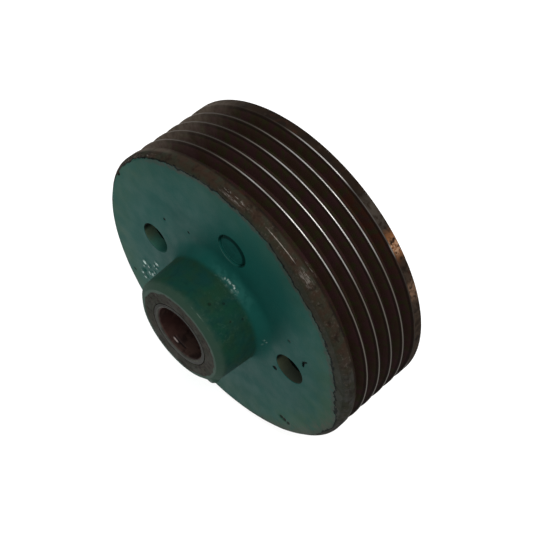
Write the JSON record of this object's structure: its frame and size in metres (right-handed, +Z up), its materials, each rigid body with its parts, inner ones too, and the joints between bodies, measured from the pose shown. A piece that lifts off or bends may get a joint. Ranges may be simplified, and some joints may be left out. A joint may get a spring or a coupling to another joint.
{
  "type": "v belt pulley",
  "caption": "Cast-iron multi-groove V-belt pulley with a long hub, a plain web with round holes and blanking plugs, turning on a plain bearing sleeve.",
  "frame": {"origin": "on the pulley's axis, halfway across the width of the rim", "axes": "+Y along the axis of rotation, from the long end of the hub towards the open back of the rim; +Z up"},
  "size_m": [0.3, 0.145, 0.3],
  "materials": {
    "painted_iron": "worn teal-green brush paint on cast iron, with a bare brown-grey rim, dark belt grooves and rust",
    "sleeve_steel": "turned steel, dull, with an oily red-brown bore",
    "painted_plug": "teal-green brush paint"
  },
  "bodies": {
    "sleeve": {"bearing_sleeve": "sleeve_steel"},
    "pulley": {"pulley_casting": "painted_iron", "upper_web_plug": "painted_plug", "lower_web_plug": "painted_plug"}
  },
  "joints": [
    {"name": "pulley_spin", "type": "hinge", "parent": "sleeve", "child": "pulley", "pos_m": [0, 0, 0], "axis": [0, 1, 0], "continuous": true}
  ]
}
